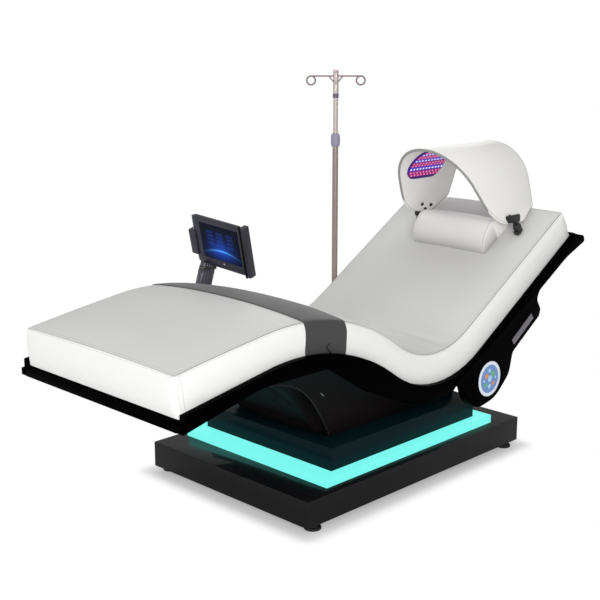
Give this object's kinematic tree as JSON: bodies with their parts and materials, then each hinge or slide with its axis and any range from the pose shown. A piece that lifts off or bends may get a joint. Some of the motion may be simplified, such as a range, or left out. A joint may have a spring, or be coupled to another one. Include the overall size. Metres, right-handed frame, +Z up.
{
  "type": "light therapy lounger",
  "caption": "Reclining treatment lounger on a stepped plinth with a glowing slab, a tilting light arch over the head end, a hook pole and a tablet arm.",
  "frame": {"origin": "on the floor, under the plinth's centre", "axes": "+X towards the head end, -Y towards the near long side, +Z up"},
  "size_m": [2.1853, 0.9858, 1.499],
  "materials": {
    "black_satin": "satin black cover",
    "deck_gloss": "dark glossy cover",
    "glow": "milky slab lit from inside in cyan",
    "led_strip": "white strip lights",
    "steel_dark": "dark painted steel",
    "steel": "turned steel",
    "bronze": "plain bearing bronze",
    "black_plastic": "black moulded",
    "rubber": "black rubber",
    "shell_black": "deep black lacquer, high gloss",
    "ring_white": "pale ring round the emblem",
    "badge_blue": "blue disc with plain coloured dots",
    "badge_grey": "bare grey-blue strip",
    "hide": "pale smooth upholstery",
    "band": "dark grey stretch band",
    "skirt_cloth": "near black stretch cloth",
    "arch_white": "white satin shell",
    "trim_grey": "grey ribbed edge",
    "panel_violet": "violet light panel",
    "light_red": "row of red lights",
    "light_blue": "row of blue violet lights",
    "tube_metal": "brown grey coated tube",
    "tube_bright": "brushed upper tube",
    "lilac": "lilac grey grip",
    "case_grey": "charcoal case",
    "screen": "screen, plain"
  },
  "bodies": {
    "base": {"base_plate": "steel_dark", "lower_plinth": "black_satin", "light_slab": "glow", "led_strips": "led_strip", "upper_plinth": "deck_gloss", "base_frame": "steel_dark", "pivot_shaft": "steel", "shaft_collars": "steel_dark", "low_pin": "steel", "control_box": "black_plastic", "power_inlet": "black_plastic", "skirt": "skirt_cloth", "skirt_tag": "steel"},
    "levelling_foot_1": {"foot_near_a": "rubber"},
    "levelling_foot_2": {"foot_near_b": "rubber"},
    "levelling_foot_3": {"foot_far_a": "rubber"},
    "levelling_foot_4": {"foot_far_b": "rubber"},
    "bed": {"pivot_bushes": "bronze", "rocker_frame": "steel_dark", "rod_pin": "steel", "shell_pan": "shell_black", "foot_rail": "shell_black", "head_rail": "shell_black", "side_panel_near": "shell_black", "side_panel_far": "shell_black", "emblem_rings": "ring_white", "emblem_discs": "badge_blue", "name_strips": "badge_grey", "mattress": "hide", "knee_band": "band", "knee_lead": "black_satin", "bolster": "hide", "clamp_posts": "black_plastic", "pole_brackets": "steel_dark", "pole_tube": "tube_metal", "tablet_bracket": "black_plastic", "tablet_post": "case_grey"},
    "actuator": {"actuator_tube": "steel_dark", "actuator_motor": "black_plastic"},
    "rod": {"actuator_rod": "steel"},
    "arch": {"arch_shell": "arch_white", "arch_trim": "trim_grey", "light_panel": "panel_violet", "lights_red": "light_red", "lights_blue": "light_blue", "arch_clamps": "black_plastic", "arch_bolts": "black_plastic", "arch_pins": "steel"},
    "twist_collar": {"pole_collar": "lilac"},
    "upper_tube": {"pole_rod": "tube_bright", "rod_collar": "lilac"},
    "hooks": {"hook_head": "tube_bright", "hook_wires": "tube_bright"},
    "swivel_arm": {"tablet_arm": "black_plastic"},
    "tablet": {"tablet_holder": "black_plastic", "left_claw": "black_plastic", "tablet_case": "case_grey", "tablet_screen": "screen"},
    "bar": {"clamp_bar": "case_grey"},
    "button": {"home_button": "steel"}
  },
  "joints": [
    {"name": "bed_tilt", "type": "hinge", "parent": "base", "child": "bed", "pos_m": [0.06, 0, 0.29], "axis": [0, 1, 0], "range_deg": [-6, 10], "deforming": ["skirt"]},
    {"name": "actuator_swing", "type": "hinge", "parent": "base", "child": "actuator", "pos_m": [-0.253, 0, 0.08], "axis": [0, 1, 0], "range_deg": [-3.32, 5.46]},
    {"name": "actuator_stroke", "type": "slide", "parent": "actuator", "child": "rod", "axis": [-0.1295, 0, 0.9916], "range_m": [-0.0355, 0.0588]},
    {"name": "arch_hinge", "type": "hinge", "parent": "bed", "child": "arch", "pos_m": [0.724, -0.04, 0.882], "axis": [0, 1, 0], "range_deg": [-40, 2]},
    {"name": "collar_twist", "type": "hinge", "parent": "bed", "child": "twist_collar", "pos_m": [0.44, 0.456, 1.2], "axis": [0, 0, 1], "range_deg": [0, 90]},
    {"name": "pole_slide", "type": "slide", "parent": "bed", "child": "upper_tube", "axis": [0, 0, 1], "range_m": [-0.14, 0.2]},
    {"name": "hook_swivel", "type": "hinge", "parent": "upper_tube", "child": "hooks", "pos_m": [0.44, 0.456, 1.45], "axis": [0, 0, 1], "continuous": true},
    {"name": "tablet_swivel", "type": "hinge", "parent": "bed", "child": "swivel_arm", "pos_m": [-0.2877, 0.468, 0.744], "axis": [0.2974, 0, 0.9548], "range_deg": [-45, 45]},
    {"name": "tablet_tilt", "type": "hinge", "parent": "swivel_arm", "child": "tablet", "pos_m": [-0.26887, 0.46678, 0.83864], "axis": [0.0903, -0.9907, -0.1015], "range_deg": [-30, 2]},
    {"name": "bar_slide", "type": "slide", "parent": "tablet", "child": "bar", "axis": [0.0903, -0.9907, -0.1015], "range_m": [0, 0.025]},
    {"name": "button_press", "type": "slide", "parent": "tablet", "child": "button", "axis": [0.9536, 0.0567, 0.2957], "range_m": [0, 0.0012], "stiffness_N_per_m": 300},
    {"name": "foot_1_turn", "type": "hinge", "parent": "base", "child": "levelling_foot_1", "pos_m": [-0.5605, -0.385, 0.01], "axis": [0, 0, 1], "continuous": true},
    {"name": "foot_2_turn", "type": "hinge", "parent": "base", "child": "levelling_foot_2", "pos_m": [0.5605, -0.385, 0.01], "axis": [0, 0, 1], "continuous": true},
    {"name": "foot_3_turn", "type": "hinge", "parent": "base", "child": "levelling_foot_3", "pos_m": [-0.5605, 0.385, 0.01], "axis": [0, 0, 1], "continuous": true},
    {"name": "foot_4_turn", "type": "hinge", "parent": "base", "child": "levelling_foot_4", "pos_m": [0.5605, 0.385, 0.01], "axis": [0, 0, 1], "continuous": true}
  ],
  "couplings": [
    {"joint": "actuator_swing", "follows": "bed_tilt", "ratio": 0.536},
    {"joint": "actuator_stroke", "follows": "bed_tilt", "m_per_rad": 0.334}
  ]
}
